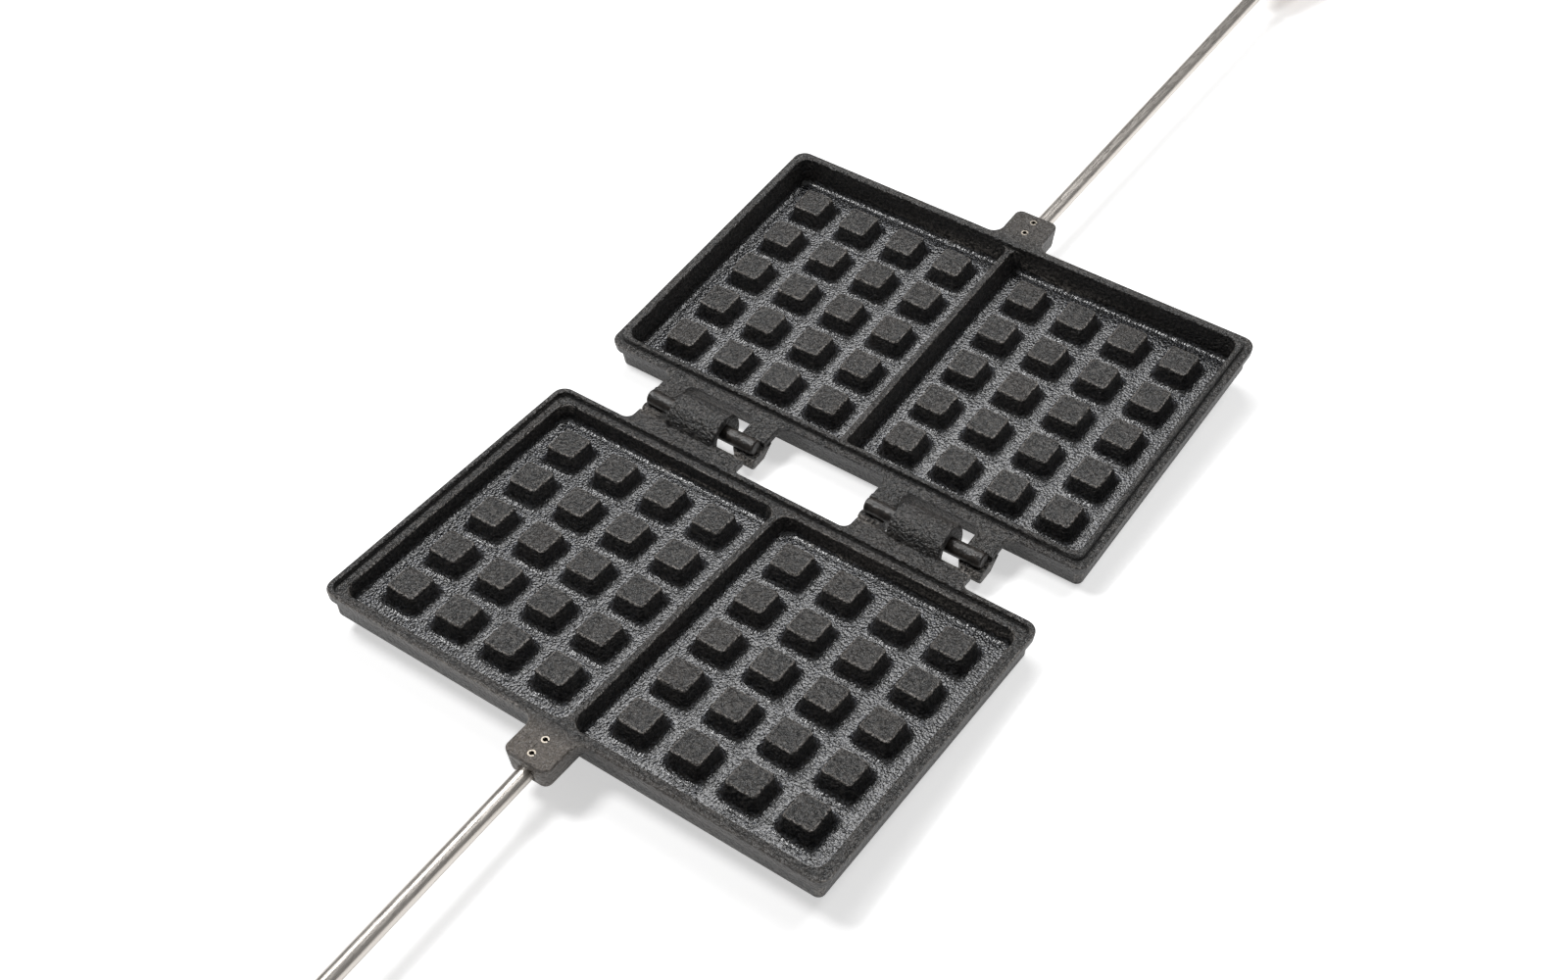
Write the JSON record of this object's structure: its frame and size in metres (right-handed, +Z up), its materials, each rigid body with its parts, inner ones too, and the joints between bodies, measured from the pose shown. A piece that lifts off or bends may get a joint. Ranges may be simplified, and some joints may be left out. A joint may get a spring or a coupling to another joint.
{
  "type": "stovetop waffle iron",
  "caption": "Two rectangular cast-iron waffle plates on long rods with wooden grips, joined by bars in open hooks, so that they fold face to face.",
  "frame": {"origin": "on the ground, under the hinge axis, midway between the two halves as they lie open", "axes": "+Z up, +X along the hinge, +Y from the lower half to the upper half"},
  "size_m": [0.24, 1.1142, 0.042],
  "materials": {
    "seasoned_cast_iron": "sand-cast, oiled and blackened",
    "stainless_rod": "bright drawn steel",
    "hinge_bar_steel": "dark drawn steel",
    "spring_pin_steel": "spring steel, bright rims",
    "turned_wood": "turned and oiled",
    "nickel_fitting": "nickel plated, turned"
  },
  "bodies": {
    "lower_half": {"lower_cap_nut": "nickel_fitting", "lower_end_washer": "nickel_fitting", "lower_ferrule": "nickel_fitting", "lower_grip": "turned_wood", "lower_handle_rod": "stainless_rod", "lower_inner_roll_pin": "spring_pin_steel", "lower_outer_roll_pin": "spring_pin_steel", "lower_plate": "seasoned_cast_iron"},
    "upper_half": {"upper_cap_nut": "nickel_fitting", "upper_end_washer": "nickel_fitting", "upper_ferrule": "nickel_fitting", "upper_grip": "turned_wood", "upper_handle_rod": "stainless_rod", "upper_inner_roll_pin": "spring_pin_steel", "upper_outer_roll_pin": "spring_pin_steel", "upper_plate": "seasoned_cast_iron", "left_hinge_bar": "hinge_bar_steel", "right_hinge_bar": "hinge_bar_steel"}
  },
  "joints": [
    {"name": "fold_over", "type": "hinge", "parent": "lower_half", "child": "upper_half", "pos_m": [0, 0, 0.01421], "axis": [1, 0, 0], "range_deg": [0, 173.17]}
  ]
}
